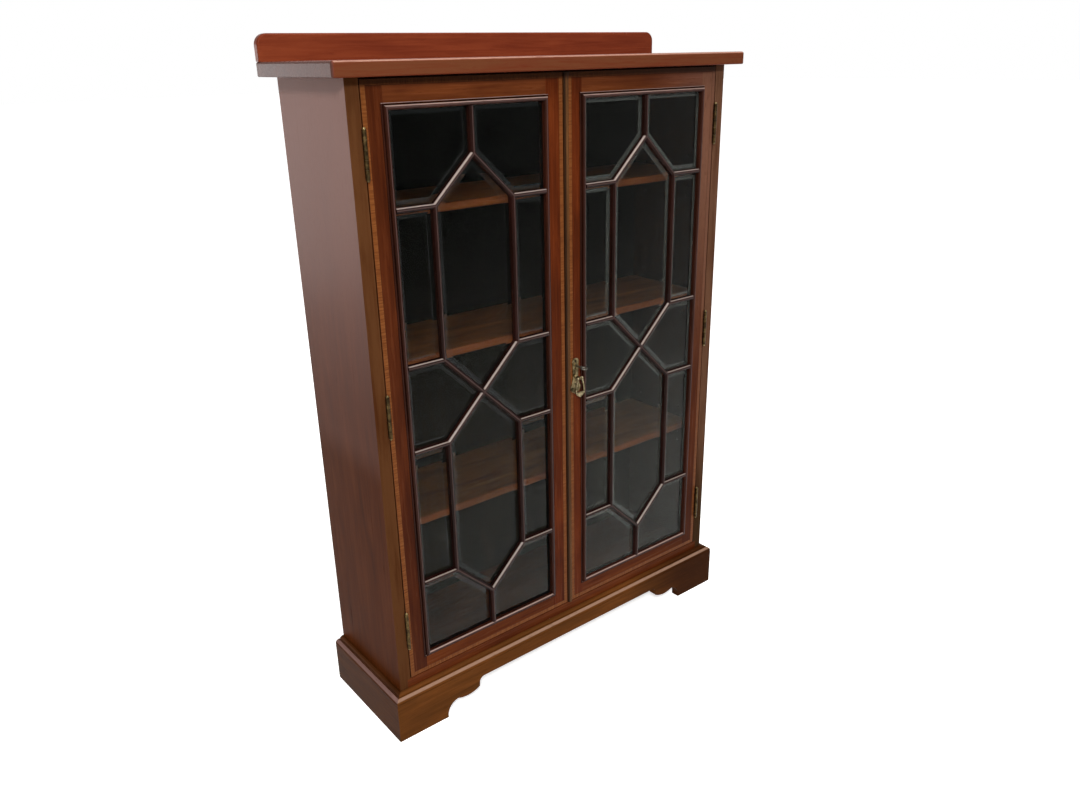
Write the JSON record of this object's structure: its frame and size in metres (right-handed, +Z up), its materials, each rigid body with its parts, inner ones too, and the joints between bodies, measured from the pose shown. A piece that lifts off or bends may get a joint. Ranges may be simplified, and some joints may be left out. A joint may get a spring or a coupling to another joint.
{
  "type": "glazed bookcase",
  "caption": "Free-standing bookcase with two astragal-glazed doors, adjustable shelves, an upstand behind the top and bracket feet.",
  "frame": {"origin": "on the floor, under the middle of the whole width and of the whole depth from the key's bow to the back of the top", "axes": "+X towards the right door, +Y towards the back, +Z up; the doors face -Y"},
  "size_m": [1.07, 0.33, 1.506],
  "materials": {
    "mahogany": "hand-polished satin",
    "dark_mahogany": "polished, darkened in the hollows",
    "banding": "short-grain veneer, polished",
    "secondary_wood": "stained, unpolished",
    "glass": "clear, bevelled",
    "brass": "aged",
    "steel": "dull, handled"
  },
  "bodies": {
    "case": {"back_boards": "secondary_wood", "bottom_board": "mahogany", "door_stops": "secondary_wood", "gallery": "mahogany", "glue_blocks": "secondary_wood", "left_hinge_case_leaves": "brass", "left_hinge_pins": "brass", "plinth_front": "mahogany", "plinth_left": "mahogany", "plinth_moulding_front": "mahogany", "plinth_moulding_left": "mahogany", "plinth_moulding_right": "mahogany", "plinth_right": "mahogany", "right_hinge_case_leaves": "brass", "right_hinge_pins": "brass", "shelf_lower": "mahogany", "shelf_middle": "mahogany", "shelf_pegs": "secondary_wood", "shelf_upper": "mahogany", "side_board_left": "mahogany", "side_board_right": "mahogany", "top_board": "mahogany", "top_rail_back": "secondary_wood", "top_rail_front": "secondary_wood"},
    "left_door": {"left_bottom_rail": "mahogany", "left_corner_panes": "glass", "left_crossbanding": "banding", "left_glass_moulding": "dark_mahogany", "left_glazing_bars": "dark_mahogany", "left_hinge_door_leaves": "brass", "left_hinge_stile": "mahogany", "left_long_panes": "glass", "left_meeting_stile": "mahogany", "left_putty_beads": "mahogany", "left_side_panes": "glass", "left_top_rail": "mahogany", "left_waist_panes": "glass", "slip_bolt_guides": "brass", "strike_plate": "brass"},
    "right_door": {"handle_plate": "brass", "lock_case": "brass", "meeting_bead": "dark_mahogany", "right_bottom_rail": "mahogany", "right_corner_panes": "glass", "right_crossbanding": "banding", "right_glass_moulding": "dark_mahogany", "right_glazing_bars": "dark_mahogany", "right_hinge_door_leaves": "brass", "right_hinge_stile": "mahogany", "right_long_panes": "glass", "right_meeting_stile": "mahogany", "right_putty_beads": "mahogany", "right_side_panes": "glass", "right_top_rail": "mahogany", "right_waist_panes": "glass"},
    "upper_slip_bolt": {"upper_slip_bolt": "brass"},
    "lower_slip_bolt": {"lower_slip_bolt": "brass"},
    "drop_handle": {"drop_handle": "brass"},
    "key": {"key": "steel"},
    "lock_bolt": {"lock_bolt": "steel"}
  },
  "joints": [
    {"name": "left_door_hinge", "type": "hinge", "parent": "case", "child": "left_door", "pos_m": [-0.471, -0.13, 0.7815], "axis": [0, 0, -1], "range_deg": [0, 165]},
    {"name": "right_door_hinge", "type": "hinge", "parent": "case", "child": "right_door", "pos_m": [0.471, -0.13, 0.7815], "axis": [0, 0, 1], "range_deg": [0, 165]},
    {"name": "upper_slip_bolt_slide", "type": "slide", "parent": "left_door", "child": "upper_slip_bolt", "axis": [0, 0, 1], "range_m": [0, 0.01]},
    {"name": "lower_slip_bolt_slide", "type": "slide", "parent": "left_door", "child": "lower_slip_bolt", "axis": [0, 0, -1], "range_m": [0, 0.01]},
    {"name": "key_turn", "type": "hinge", "parent": "right_door", "child": "key", "pos_m": [0.027, -0.125, 0.779], "axis": [0, 1, 0], "range_deg": [0, 180]},
    {"name": "lock_bolt_throw", "type": "slide", "parent": "right_door", "child": "lock_bolt", "axis": [-1, 0, 0], "range_m": [0, 0.0085]},
    {"name": "drop_handle_swing", "type": "hinge", "parent": "right_door", "child": "drop_handle", "pos_m": [0.027, -0.143, 0.7515], "axis": [-1, 0, 0], "range_deg": [0, 100]}
  ],
  "couplings": [
    {"joint": "lock_bolt_throw", "follows": "key_turn", "m_per_rad": 0.0027056}
  ]
}
